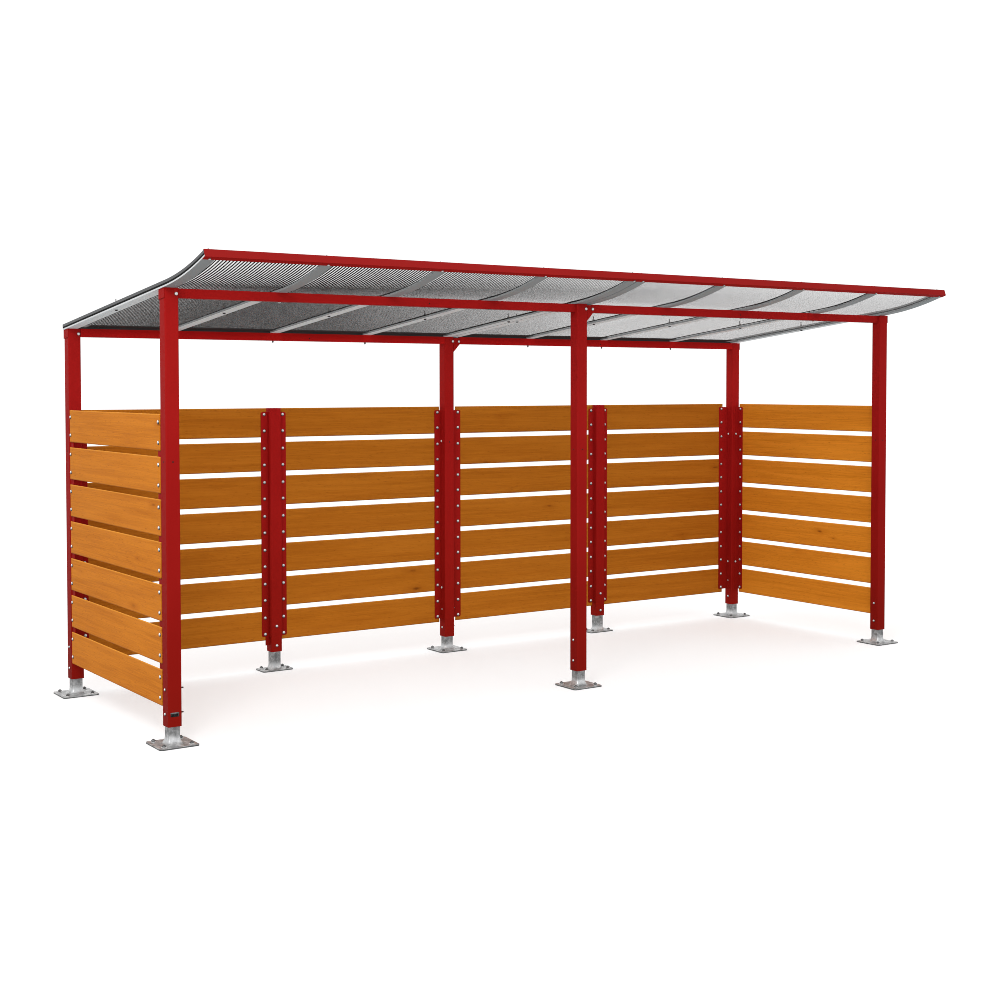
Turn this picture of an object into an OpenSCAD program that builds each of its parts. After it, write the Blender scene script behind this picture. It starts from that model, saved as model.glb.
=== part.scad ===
// Open bike shelter: steel post frame, slatted back and ends, and a
// translucent roof that curves up to a front lip.
// Millimetres. X runs along the shelter, -Y is the open front, Z is up.
// The origin is on the ground under the middle of the whole shelter.

/* [Posts] */
// Width of the square posts
post_w = 70; // [64:1:90]
// Wall thickness of the post tubes
post_wall = 3; // [2:0.5:4]
// Outer corner radius of the post tubes
post_r = 5; // [5:0.5:9]
// Clear width of the left bay
bay_left = 2388; // [2100:1:2600]
// Clear width of the right bay
bay_right = 2458; // [2388:1:2600]
// Distance between the front and back post centres
row_depth = 1438; // [1200:1:1700]
// Top of the front posts at their front face
front_h = 2205.5; // [2100:0.5:2400]
// Lower end of the tall posts above the ground
post_gap = 92; // [60:1:120]
// Lower end of the short posts above the ground
short_gap = 115; // [60:1:120]
// Distance of the short posts behind the back row
short_back = 20; // [10:1:24]
// Width of the slot in the front left post
slot_w = 45; // [20:1:50]
// Height of the slot in the front left post
slot_h = 22; // [15:1:32]

/* [Beams] */
// Height of the beams between the post tops
beam_h = 46; // [40:1:70]
// Depth of the beams between the post tops
beam_d = 50; // [30:1:60]
// Wall thickness of the beams
beam_wall = 3; // [2:0.5:5]
// Length of the gussets beside the middle posts
gusset_w = 46; // [30:1:60]
// Thickness of the gusset plates
gusset_t = 4; // [3:0.5:6]
// Height of the plates on the outer faces of the end posts
end_h = 48; // [30:1:60]
// Thickness of the plates on the end posts
end_t = 3.5; // [2:0.5:5]

/* [Feet] */
// Side of the square ground plates
foot_w = 200; // [190:1:220]
// Depth of the ground plates under the short posts
foot_short_d = 120; // [100:1:140]
// Corner radius of the ground plates
foot_r = 14; // [4:1:20]
// Thickness of the ground plates
foot_t = 8; // [6:1:12]
// Side of the stub tube that slides into a post
stub_w = 58; // [45:1:58]
// Wall thickness of the stub tube
stub_wall = 4; // [3:0.5:5]
// Height of the stub tubes above the ground
stub_h = 320; // [250:5:400]
// Distance between the anchor holes of a square plate
hole_pitch = 140; // [110:1:160]
// Distance between the anchor holes of a short plate, front to back
hole_short_pitch = 76; // [70:1:90]
// Radius of the anchor holes
hole_r = 7; // [5:0.5:9]

/* [Boards] */
// Number of boards in each panel
board_n = 7; // [5:1:7]
// Height of one board
board_h = 177; // [140:1:185]
// Thickness of one board
board_t = 6; // [5:0.5:10]
// Distance from one board to the next
board_pitch = 206.5; // [190:0.5:215]
// Top of the upper board above the ground
board_top = 1600; // [1500:1:1700]
// Gap between a board end and the nearest post
board_gap = 10; // [6:1:14]
// Setback of the back boards from the outer post faces
board_in = 8; // [4:1:14]
// Setback of the end boards from the outer post faces
end_in = 0; // [0:1:14]

/* [Brackets] */
// Width of the flange plates beside a post
flange_w = 47; // [40:1:50]
// Thickness of the flange plates
flange_t = 4; // [3:0.5:6]
// Corner radius of the flange plates
flange_r = 10; // [4:1:15]
// Distance of the flange ends from the board stack ends
flange_in = 24; // [10:1:40]
// Depth of the bracket leg on the post side
leg_d = 32; // [24:1:34]

/* [Roof] */
// Roof pitch over the posts
pitch = 6; // [4:0.1:8]
// Pitch of the roof at the front lip
lip_pitch = 19.5; // [14:0.1:22]
// Radius of the bend at the front
bend_r = 2100; // [1800:10:2600]
// Distance of the bend start in front of the front post centres
bend_start = 61; // [40:1:80]
// Length of the roof behind the rear post centres
tail = 31; // [20:1:60]
// Offset of the roof joint from the middle
joint_x = -19; // [-40:1:0]
// Distance from the roof joint to a roof end
roof_half = 2518; // [2500:1:2540]
// Width of a roof bar
bar_w = 60; // [44:1:64]
// Width of a bar at a roof end
bar_end_w = 62; // [60:1:100]
// Gap between the two bars at the joint
joint_gap = 6; // [2:1:12]
// Thickness of a roof bar
bar_t = 10; // [8:1:14]
// Thickness of the seal between a bar and a sheet
seal_t = 2; // [1:0.5:4]
// Thickness of a roof sheet
sheet_t = 8; // [6:1:16]
// Thickness of the edge strips at the roof ends
cover_t = 11; // [6:1:14]
// Width of the edge strips at the roof ends
edge_w = 50; // [24:1:60]
// Width of the strips over the inner bars
strip_w = 20; // [16:1:40]
// Thickness of the strips over the inner bars
strip_t = 3; // [2:0.5:5]
// Depth of the closure on the rear beam, front to back
closure_d = 20; // [10:1:30]
// Reach of the closure flap in front of the rear beam
flap_d = 80; // [20:1:120]
// Distance from the joint to the first bar
bar_first = 626; // [600:1:634]
// Distance between the inner bars
bar_pitch = 632; // [600:1:634]
// Depth of the lower flange of the lip channel
lip_d = 30; // [24:1:60]
// Depth of the upper flange of the lip channel
lip_top = 12; // [8:1:30]
// Wall thickness of the lip channel
lip_wall = 3; // [2:0.5:4]

/* [Hidden] */
$fn = 48;
e = 0.01;

// rows of posts, from left to right
half_len = (3 * post_w + bay_left + bay_right) / 2;
x_left = -half_len + post_w / 2;
x_mid = x_left + post_w + bay_left;
x_right = half_len - post_w / 2;
x_short_l = (x_left + x_mid) / 2;
x_short_r = (x_mid + x_right) / 2;

// the shelter is centred front to back, from the lip to the rear plates
s0 = sin(pitch);
c0 = cos(pitch);
reach = bend_r * (sin(lip_pitch) - s0) + bend_start + lip_wall * (cos(lip_pitch) + sin(lip_pitch));
depth = row_depth + reach + foot_w / 2;
y_back = depth / 2 - foot_w / 2;
y_front = y_back - row_depth;
y_ff = y_front - post_w / 2;
y_short = y_back + short_back;
rear_y = y_back + tail;
// the front beams are flush with the inner faces of the posts
beam_in = post_w - beam_d;

// height of the underside of the bars over the posts
function under(y) = front_h - (y - y_ff) * tan(pitch);

// one point of the roof curve at angle a, o above the underside
y_bend = y_front - bend_start;
bend_cy = y_bend + bend_r * s0;
bend_cz = under(y_bend) + bend_r * c0;
function bend(a, o) = [bend_cy - (bend_r - o) * sin(a), bend_cz - (bend_r - o) * cos(a)];
bend_n = 12;
// one edge line of a roof piece that starts at y, o above the underside
function edge(y, o) = concat(
    [[y + o * s0, under(y) + o * c0]],
    [for (i = [0:bend_n]) bend(pitch + (lip_pitch - pitch) * i / bend_n, o)]);
function rev(v) = [for (i = [len(v) - 1:-1:0]) v[i]];

// heights of the roof layers above the underside of the bars
o_seal = bar_t + seal_t;
o_sheet = o_seal + sheet_t;
o_cover = o_sheet + cover_t;
o_strip = o_sheet + strip_t;
cap_d = 4;
end_seal = 16;
// rebate along the roof ends that shows the seal from the side
hook = 4;
hook_lo = bar_t - 2.5;
hook_hi = o_sheet - 3;

bar_x = [bar_first, bar_first + bar_pitch, bar_first + 2 * bar_pitch];
bar_spans = concat(
    [for (s = [-1, 1], x = bar_x) [joint_x + s * x - bar_w / 2, joint_x + s * x + bar_w / 2]],
    [[joint_x - roof_half, joint_x - roof_half + bar_end_w], [joint_x + roof_half - bar_end_w, joint_x + roof_half]],
    [[joint_x - joint_gap / 2 - bar_w, joint_x - joint_gap / 2], [joint_x + joint_gap / 2, joint_x + joint_gap / 2 + bar_w]]);

board_bottom = board_top - (board_n - 1) * board_pitch - board_h;
flange_lo = board_bottom + flange_in;
flange_hi = board_top - flange_in;
rear_len = (bay_left - post_w) / 2 - 2 * board_gap;
side_len = row_depth - post_w - 2 * board_gap;
extra = (bay_right - bay_left) / 2;
slot_z = post_gap + 59;

// Sub-part to build

red = [0.62, 0.1, 0.1];
zinc = [0.7, 0.72, 0.74];
wood = [0.75, 0.47, 0.17];
alu = [0.78, 0.79, 0.8];
clear = [0.6, 0.62, 0.64];
dark = [0.22, 0.23, 0.24];
black = [0.05, 0.05, 0.05];

// rectangle with rounded corners, centred
module round_rect(w, d, r) {
    square([w - 2 * r, d], center = true);
    square([w, d - 2 * r], center = true);
    for (x = [-1, 1], y = [-1, 1]) translate([x * (w / 2 - r), y * (d / 2 - r)]) circle(r);
}

// front to back profile drawn in y and z, run along x from x0 to x1
module run(x0, x1) {
    translate([x0, 0, 0]) rotate([90, 0, 90]) linear_extrude(x1 - x0) children();
}

// tall post with its top cut to the roof pitch and closed by a cap
module tall_post(x, y) {
    color(red) difference() {
        translate([x, y, post_gap]) linear_extrude(front_h - post_gap + 20) round_rect(post_w, post_w, post_r);
        run(x - post_w, x + post_w) polygon([
            [y - post_w, under(y - post_w)], [y + post_w, under(y + post_w)],
            [y + post_w, front_h + 100], [y - post_w, front_h + 100]]);
        difference() {
            translate([x, y, post_gap - 1]) linear_extrude(front_h) round_rect(post_w - 2 * post_wall, post_w - 2 * post_wall, post_r - post_wall);
            run(x - post_w, x + post_w) polygon([
                [y - post_w, under(y - post_w) - post_wall], [y + post_w, under(y + post_w) - post_wall],
                [y + post_w, front_h + 200], [y - post_w, front_h + 200]]);
        }
    }
}

// short post of the back wall, open below and capped on top
module short_post(x) {
    color(red) difference() {
        translate([x, y_short, short_gap])
            linear_extrude(board_top - short_gap) round_rect(post_w, post_w, post_r);
        translate([x, y_short, short_gap - 1])
            linear_extrude(board_top - short_gap + 1 - post_wall)
                round_rect(post_w - 2 * post_wall, post_w - 2 * post_wall, post_r - post_wall);
    }
}

// ground plate with anchor holes and a stub tube
module foot(x, y, d, pitch_y) {
    color(zinc) translate([x, y, 0]) {
        linear_extrude(foot_t) difference() {
            round_rect(foot_w, d, foot_r);
            for (sx = [-1, 1], sy = [-1, 1]) translate([sx * hole_pitch / 2, sy * pitch_y / 2]) circle(hole_r);
        }
        translate([0, 0, foot_t - e]) linear_extrude(stub_h - foot_t) difference() {
            round_rect(stub_w, stub_w, 6);
            round_rect(stub_w - 2 * stub_wall, stub_w - 2 * stub_wall, 2);
        }
    }
}
module square_foot(x, y) { foot(x, y, foot_w, hole_pitch); }
module short_foot(x) { foot(x, y_short, foot_short_d, hole_short_pitch); }

// hollow beam with its top at the roof pitch
module beam(x0, x1, y, in) {
    yf = y - post_w / 2 + in;
    yb = yf + beam_d;
    lo = under(yf) - beam_h;
    color(red) difference() {
        run(x0, x1) polygon([[yf, lo], [yb, lo], [yb, under(yb)], [yf, under(yf)]]);
        run(x0 - 1, x1 + 1) polygon([
            [yf + beam_wall, lo + beam_wall], [yb - beam_wall, lo + beam_wall],
            [yb - beam_wall, under(yb - beam_wall) - beam_wall], [yf + beam_wall, under(yf + beam_wall) - beam_wall]]);
    }
}

// bracket between a middle post and the right beam: two cheeks with a
// sloping plate between them
module gusset(y, d) {
    yf = y - post_w / 2;
    x0 = x_mid + post_w / 2;
    top = under(yf + d);
    lo = under(yf) - beam_h;
    color(red) {
        for (y0 = [yf, yf + d - gusset_t])
            translate([x0, y0 + gusset_t, 0]) rotate([90, 0, 0]) linear_extrude(gusset_t)
                polygon([[0, top], [0, lo - gusset_w - 4], [gusset_w, lo], [gusset_w, top]]);
        translate([x0, yf + d - e, 0]) rotate([90, 0, 0]) linear_extrude(d - 2 * e)
            polygon([[0, lo - gusset_w - 4], [gusset_w, lo], [gusset_w, lo + gusset_t * 1.5], [0, lo - gusset_w - 4 + gusset_t * 1.5]]);
    }
}

// plate on the outer face of an end post, under the roof
module end_plate(side, y) {
    color(red) run(side < 0 ? -half_len - end_t : half_len, side < 0 ? -half_len : half_len + end_t) polygon([
        [y - post_w / 2, under(y - post_w / 2) - end_h], [y + post_w / 2, under(y + post_w / 2) - end_h],
        [y + post_w / 2, under(y + post_w / 2)], [y - post_w / 2, under(y - post_w / 2)]]);
}

// channel that holds the front ends of the bars
module lip(x0, x1) {
    n = [sin(lip_pitch), cos(lip_pitch)];
    d = [-cos(lip_pitch), sin(lip_pitch)];
    p = bend(lip_pitch, 0);
    function at(a, o) = [p[0] + a * d[0] + o * n[0], p[1] + a * d[1] + o * n[1]];
    color(red) run(x0, x1) polygon([
        at(-lip_d, -lip_wall - 0.3), at(lip_wall, -lip_wall), at(lip_wall, o_cover + lip_wall), at(-lip_top, o_cover + lip_wall),
        at(-lip_top, o_cover), at(0, o_cover), at(0, 0), at(-lip_d, -0.3)]);
}

// one board panel
module boards_back(x0) {
    color(wood) for (i = [0:board_n - 1])
        translate([x0, y_back + post_w / 2 - board_in - board_t, board_top - board_h - i * board_pitch])
            cube([rear_len, board_t, board_h]);
}
module boards_end(x0) {
    color(wood) for (i = [0:board_n - 1])
        translate([x0, y_front + post_w / 2 + board_gap, board_top - board_h - i * board_pitch])
            cube([board_t, side_len, board_h]);
}

// flange plate, w wide from its post, with two round corners away from it
module flange(w) {
    h = flange_hi - flange_lo;
    square([w - flange_r, h]);
    translate([0, flange_r]) square([w, h - 2 * flange_r]);
    for (y = [flange_r, h - flange_r]) translate([w - flange_r, y]) circle(flange_r);
}

// bracket of the back wall on one side of a post: flange behind the
// board ends and a leg on the post
module back_flange(xf, s, w) {
    y1 = y_back + post_w / 2 - board_in - board_t;
    color(red) translate([xf, y1, flange_lo]) mirror([s > 0 ? 0 : 1, 0, 0]) {
        rotate([90, 0, 0]) linear_extrude(flange_t) flange(w);
        translate([0, -leg_d, 0]) cube([flange_t, leg_d - e, flange_hi - flange_lo]);
    }
}
// the same for an end panel; s is the way from the post to the panel
module end_flange(side, yf, s) {
    x1 = side * (half_len - end_in - board_t);
    color(red) translate([x1, yf, flange_lo]) mirror([0, s > 0 ? 0 : 1, 0]) mirror([side > 0 ? 0 : 1, 0, 0]) {
        translate([-flange_t, 0, 0]) rotate([90, 0, 90]) linear_extrude(flange_t) flange(flange_w);
        translate([-leg_d, 0, 0]) cube([leg_d - e, flange_t, flange_hi - flange_lo]);
    }
}

// roof piece between two offsets above the underside of the bars
module roof_piece(x0, x1, y, o0, o1) {
    run(x0, x1) polygon(concat(edge(y, o0), rev(edge(y, o1))));
}
module bars(from, to) {
    color(alu) for (i = [from:to]) roof_piece(bar_spans[i][0], bar_spans[i][1], rear_y, 0, bar_t);
}
// roof piece along a roof end, from d0 to d1 in from the end face
module end_piece(s, d0, d1, y, o0, o1) {
    a = joint_x + s * (roof_half - d0);
    b = joint_x + s * (roof_half - d1);
    roof_piece(min(a, b), max(a, b), y, o0, o1);
}
module end_bar(s) {
    color(alu) {
        end_piece(s, hook, bar_end_w, rear_y, 0, bar_t);
        end_piece(s, 0, hook, rear_y, 0, hook_lo);
    }
}

module post_front_left() {
    difference() {
        tall_post(x_left, y_front);
        translate([x_left - slot_w / 2, y_ff - 5, slot_z - slot_h / 2]) cube([slot_w, post_wall + 6, slot_h]);
    }
}
module post_front_mid() { tall_post(x_mid, y_front); }
module post_front_right() { tall_post(x_right, y_front); }
module post_back_left() { tall_post(x_left, y_back); }
module post_back_mid() { tall_post(x_mid, y_back); }
module post_back_right() { tall_post(x_right, y_back); }
module post_short_left() { short_post(x_short_l); }
module post_short_right() { short_post(x_short_r); }
module foot_front_left() {
    difference() {
        square_foot(x_left, y_front);
        translate([x_left - slot_w / 2 + 2, y_front - stub_w / 2 - 5, slot_z - slot_h]) cube([slot_w - 4, stub_wall + 6, slot_h + 4]);
    }
}
module foot_front_mid() { square_foot(x_mid, y_front); }
module foot_front_right() { square_foot(x_right, y_front); }
module foot_back_left() { square_foot(x_left, y_back); }
module foot_back_mid() { square_foot(x_mid, y_back); }
module foot_back_right() { square_foot(x_right, y_back); }
module foot_short_left() { short_foot(x_short_l); }
module foot_short_right() { short_foot(x_short_r); }
module beam_front_left() { beam(x_left + post_w / 2, x_mid - post_w / 2, y_front, beam_in); }
module beam_front_right() { beam(x_mid + post_w / 2 + gusset_w, x_right - post_w / 2, y_front, beam_in); }
module beam_back_left() { beam(x_left + post_w / 2, x_mid - post_w / 2, y_back, 0); }
module beam_back_right() { beam(x_mid + post_w / 2 + gusset_w, x_right - post_w / 2, y_back, 0); }
module gussets() {
    gusset(y_front, post_w);
    gusset(y_back, beam_d);
}
module end_plates() { for (s = [-1, 1], y = [y_front, y_back]) end_plate(s, y); }
module lip_left() { lip(joint_x - roof_half, joint_x); }
module lip_right() { lip(joint_x, joint_x + roof_half); }
module bracket_front_left() { end_flange(-1, y_front + post_w / 2, 1); }
module bracket_front_right() { end_flange(1, y_front + post_w / 2, 1); }
module bracket_back_left() {
    end_flange(-1, y_back - post_w / 2, -1);
    back_flange(x_left + post_w / 2, 1, flange_w);
}
module bracket_back_mid() {
    back_flange(x_mid - post_w / 2, -1, flange_w);
    back_flange(x_mid + post_w / 2, 1, flange_w + extra);
}
module bracket_back_right() {
    end_flange(1, y_back - post_w / 2, -1);
    back_flange(x_right - post_w / 2, -1, flange_w + extra);
}
module bracket_short_left() {
    back_flange(x_short_l - post_w / 2, -1, flange_w);
    back_flange(x_short_l + post_w / 2, 1, flange_w);
    // tail of the left flange
    color(red) translate([x_short_l - post_w / 2 - 24, y_back + post_w / 2 - board_in - board_t - flange_t, flange_lo - 54])
        cube([24, flange_t, 54 + e]);
}
module bracket_short_right() {
    back_flange(x_short_r - post_w / 2, -1, flange_w);
    back_flange(x_short_r + post_w / 2, 1, flange_w);
}
module boards_left_end() { boards_end(-half_len + end_in); }
module boards_right_end() { boards_end(half_len - end_in - board_t); }
module boards_back_1() { boards_back(x_short_l - post_w / 2 - board_gap - rear_len); }
module boards_back_2() { boards_back(x_short_l + post_w / 2 + board_gap); }
module boards_back_3() { boards_back(x_short_r - post_w / 2 - board_gap - rear_len); }
module boards_back_4() { boards_back(x_short_r + post_w / 2 + board_gap); }
module bars_left() {
    bars(0, 2);
    end_bar(-1);
}
module bars_joint() { bars(8, 9); }
module bars_right() {
    bars(3, 5);
    end_bar(1);
}
// seals on the bars and behind the sheets with the closure between the bars
// on the rear beam in one piece, and one strip in the rebate of each roof end
module seals() {
    yc = y_back - post_w / 2;
    yl = yc - flap_d;
    ye = rear_y - cap_d;
    o_flap = bar_t - 1;
    color(black) {
        difference() {
            run(joint_x - roof_half + 6, joint_x + roof_half - 6) polygon([
                [yc, under(yc)], [yc + closure_d, under(yc + closure_d)],
                [yc + closure_d + o_seal * s0, under(yc + closure_d) + o_seal * c0], [yl + o_seal * s0, under(yl) + o_seal * c0],
                [yl + o_flap * s0, under(yl) + o_flap * c0], [yc + o_flap * s0, under(yc) + o_flap * c0]]);
            for (b = bar_spans) roof_piece(b[0], b[1], rear_y, -5, bar_t);
        }
        for (b = bar_spans) roof_piece(b[0] + 6, b[1] - 6, ye + 2, bar_t, o_seal);
        for (s = [-1, 1]) {
            end_piece(s, hook + 0.1, end_seal, ye + 2, bar_t, o_sheet);
            end_piece(s, 0, hook, rear_y, hook_lo, hook_hi);
        }
        run(joint_x - roof_half + hook + 0.1, joint_x + roof_half - hook - 0.1) polygon([
            [ye + bar_t * s0, under(ye) + bar_t * c0], [rear_y + bar_t * s0, under(rear_y) + bar_t * c0],
            [rear_y + o_sheet * s0, under(rear_y) + o_sheet * c0], [ye + o_sheet * s0, under(ye) + o_sheet * c0]]);
    }
}
module sheets(s) {
    cuts = concat([0], bar_x, [roof_half - end_seal + 4]);
    color(clear) for (i = [0:3]) {
        a = joint_x + s * (cuts[i] + 4);
        b = joint_x + s * (cuts[i + 1] - 4);
        roof_piece(min(a, b), max(a, b), rear_y - cap_d, o_seal, o_sheet);
    }
}
module sheets_left() { sheets(-1); }
module sheets_right() { sheets(1); }
module covers() {
    color(dark) {
        for (s = [-1, 1], x = bar_x) roof_piece(joint_x + s * x - strip_w / 2, joint_x + s * x + strip_w / 2, rear_y, o_sheet, o_strip);
        roof_piece(joint_x - (joint_gap + bar_w + strip_w) / 2, joint_x + (joint_gap + bar_w + strip_w) / 2, rear_y, o_sheet, o_strip);
        for (s = [-1, 1]) {
            end_piece(s, hook, edge_w, rear_y, o_sheet, o_cover);
            end_piece(s, 0, hook, rear_y, hook_hi, o_cover);
        }
    }
}

post_front_left();
post_front_mid();
post_front_right();
post_back_left();
post_back_mid();
post_back_right();
post_short_left();
post_short_right();
foot_front_left();
foot_front_mid();
foot_front_right();
foot_back_left();
foot_back_mid();
foot_back_right();
foot_short_left();
foot_short_right();
beam_front_left();
beam_front_right();
beam_back_left();
beam_back_right();
gussets();
end_plates();
lip_left();
lip_right();
bracket_front_left();
bracket_front_right();
bracket_back_left();
bracket_back_mid();
bracket_back_right();
bracket_short_left();
bracket_short_right();
boards_left_end();
boards_right_end();
boards_back_1();
boards_back_2();
boards_back_3();
boards_back_4();
bars_left();
bars_joint();
bars_right();
seals();
sheets_left();
sheets_right();
covers();
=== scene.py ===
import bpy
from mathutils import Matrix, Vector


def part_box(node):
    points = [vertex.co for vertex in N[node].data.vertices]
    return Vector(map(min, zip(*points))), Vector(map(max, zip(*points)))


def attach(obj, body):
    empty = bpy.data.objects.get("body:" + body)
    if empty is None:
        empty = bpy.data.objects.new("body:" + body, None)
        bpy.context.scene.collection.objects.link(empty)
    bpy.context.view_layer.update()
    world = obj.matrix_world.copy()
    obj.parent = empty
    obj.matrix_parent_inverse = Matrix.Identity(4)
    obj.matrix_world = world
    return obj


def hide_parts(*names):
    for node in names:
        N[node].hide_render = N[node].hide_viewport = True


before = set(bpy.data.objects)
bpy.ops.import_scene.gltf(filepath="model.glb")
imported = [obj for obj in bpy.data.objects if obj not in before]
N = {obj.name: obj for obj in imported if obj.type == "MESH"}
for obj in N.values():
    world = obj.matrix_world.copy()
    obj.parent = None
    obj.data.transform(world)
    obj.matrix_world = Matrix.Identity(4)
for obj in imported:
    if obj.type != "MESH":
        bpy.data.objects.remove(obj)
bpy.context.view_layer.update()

import math
import random

import bpy
import numpy as np
from mathutils import Matrix, Vector

scene = bpy.context.scene

# ---------------------------------------------------------------- sizes, mm
POST = 70.0
X_LEFT, X_MID, X_RIGHT = -2493.0, -35.0, 2493.0
X_SHORT_L, X_SHORT_R = -1264.0, 1229.0
Y_FRONT, Y_BACK, Y_SHORT = -495.84301, 942.15699, 962.15699
FRONT_H = 2205.5
PITCH, LIP_PITCH, BEND_R = math.radians(6.0), math.radians(19.5), 2100.0
Y_FF = Y_FRONT - POST / 2
Y_BEND = Y_FRONT - 61.0
REAR_Y = Y_BACK + 31.0
JOINT_X, ROOF_HALF = -19.0, 2518.0
FOOT_T, STUB_W, HOLE_R = 8.0, 58.0, 7.0
HOLE, HOLE_SHORT = 140.0, 76.0
BEAM_H, BEAM_IN = 46.0, 20.0
BOARD_TOP, BOARD_H, BOARD_PITCH, BOARD_T, BOARD_N = 1600.0, 177.0, 206.5, 6.0, 7
BARS = [-1909.0, -1277.0, -645.0, 607.0, 1239.0, 1871.0]
O_BAR, O_SEAL, O_SHEET, O_STRIP, O_COVER = 10.0, 12.0, 20.0, 23.0, 31.0


def under(y):
    return FRONT_H - (y - Y_FF) * math.tan(PITCH)


BEND_CY = Y_BEND + BEND_R * math.sin(PITCH)
BEND_CZ = under(Y_BEND) + BEND_R * math.cos(PITCH)


def bend(a, o):
    return (BEND_CY - (BEND_R - o) * math.sin(a), BEND_CZ - (BEND_R - o) * math.cos(a))


def on_flat(y, o):
    return (y + o * math.sin(PITCH), under(y) + o * math.cos(PITCH))


# ------------------------------------------------------------ mesh building
class Build:
    """Collects closed shapes in millimetres and makes one object of them in metres."""

    def __init__(self):
        self.v, self.f, self.m, self.s, self.g = [], [], [], [], []
        self.n = 0

    def add(self, verts, faces, mat=0, smooth=False, grain=None):
        verts = np.asarray(verts, float)
        vol = 0.0
        c = verts.mean(0)
        for f in faces:
            a = verts[f[0]] - c
            for i in range(1, len(f) - 1):
                vol += float(np.dot(a, np.cross(verts[f[i]] - c, verts[f[i + 1]] - c)))
        if vol < 0:
            faces = [tuple(reversed(f)) for f in faces]
        self.v.append(verts)
        self.f += [tuple(i + self.n for i in f) for f in faces]
        self.m += [mat] * len(faces)
        self.s += [smooth] * len(faces) if isinstance(smooth, bool) else list(smooth)
        self.g.append(np.zeros((len(verts), 3)) if grain is None else np.asarray(grain, float))
        self.n += len(verts)

    def make(self, name, mats, replaces=(), grain=False, sharp=40.0):
        me = bpy.data.meshes.new(name)
        v = np.concatenate(self.v) * 0.001
        me.from_pydata(v.tolist(), [], self.f)
        for m in mats:
            me.materials.append(m)
        me.polygons.foreach_set("material_index", np.array(self.m, dtype=np.int32))
        me.polygons.foreach_set("use_smooth", np.array(self.s, dtype=bool))
        if any(self.s):
            me.set_sharp_from_angle(angle=math.radians(sharp))
        if grain:
            at = me.attributes.new("gc", "FLOAT_VECTOR", "POINT")
            at.data.foreach_set("vector", np.concatenate(self.g).ravel())
        me.update()
        ob = bpy.data.objects.new(name, me)
        scene.collection.objects.link(ob)
        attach(ob, "root")
        if replaces:
            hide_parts(*replaces)
        return ob


def basis(axis):
    """Three unit vectors with the last along axis."""
    w = np.asarray(axis, float)
    w = w / np.linalg.norm(w)
    h = np.array([0.0, 0.0, 1.0]) if abs(w[2]) < 0.9 else np.array([1.0, 0.0, 0.0])
    u = np.cross(h, w)
    u /= np.linalg.norm(u)
    return u, np.cross(w, u), w


def lathe(b, at, axis, profile, n=14, mat=0, smooth=True, turn=0.0):
    """Turned shape: profile is (radius, height) from one end of the axis to the other."""
    u, v, w = basis(axis)
    at = np.asarray(at, float)
    verts, rings = [], []
    for r, h in profile:
        if r <= 1e-6:
            rings.append([len(verts)])
            verts.append(at + w * h)
        else:
            ring = []
            for k in range(n):
                t = 2 * math.pi * k / n + turn
                ring.append(len(verts))
                verts.append(at + w * h + r * (math.cos(t) * u + math.sin(t) * v))
            rings.append(ring)
    faces = []
    for a, c in zip(rings[:-1], rings[1:]):
        for k in range(n):
            j = (k + 1) % n
            if len(a) == 1 and len(c) > 1:
                faces.append((a[0], c[k], c[j]))
            elif len(c) == 1 and len(a) > 1:
                faces.append((a[k], a[j], c[0]))
            elif len(a) > 1:
                faces.append((a[k], a[j], c[j], c[k]))
    b.add(verts, faces, mat, smooth)


def hexes(b, at, axis, flats, h0, h1, mat=0, turn=0.3):
    """Hexagon nut or head with chamfered corners."""
    r = flats / math.sqrt(3)
    c = min(1.2, (h1 - h0) * 0.2)
    lathe(b, at, axis, [(0, h0), (r * 0.93, h0), (r, h0 + c), (r, h1 - c), (r * 0.9, h1), (0, h1)], n=6, mat=mat, smooth=False, turn=turn)


def dome(b, at, axis, r=8.5, h=6.0, washer=10.5, mat=0, wmat=None, n=14):
    """Mushroom head on a thin washer."""
    wm = mat if wmat is None else wmat
    lathe(b, at, axis, [(0, -0.6), (washer, -0.6), (washer, 1.2), (washer - 0.8, 1.8), (0, 1.8)], n=n, mat=wm)
    prof = [(0, 1.7), (r * 0.93, 1.7), (r, 2.4)]
    for k in range(1, 5):
        t = k / 5 * math.pi / 2
        prof.append((r * math.cos(t), 2.4 + (h - 2.4) * math.sin(t)))
    prof.append((0, h))
    lathe(b, at, axis, prof, n=n, mat=mat)


def nut(b, at, axis, flats=16.0, washer=12.0, tip=4.0, stud=5.0, mat=0):
    """Washer, hexagon nut and the end of the bolt with its thread."""
    lathe(b, at, axis, [(0, -0.6), (washer, -0.6), (washer, 1.8), (0, 1.8)], n=16, mat=mat)
    hexes(b, at, axis, flats, 1.7, 9.5, mat)
    prof = [(0, 9.2)]
    h = 9.2
    while h < 9.5 + tip - 1.2:
        prof += [(stud * 0.9, h), (stud, h + 0.6)]
        h += 1.2
    prof += [(stud * 0.78, 9.5 + tip), (0, 9.5 + tip)]
    lathe(b, at, axis, prof, n=12, mat=mat)


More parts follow.
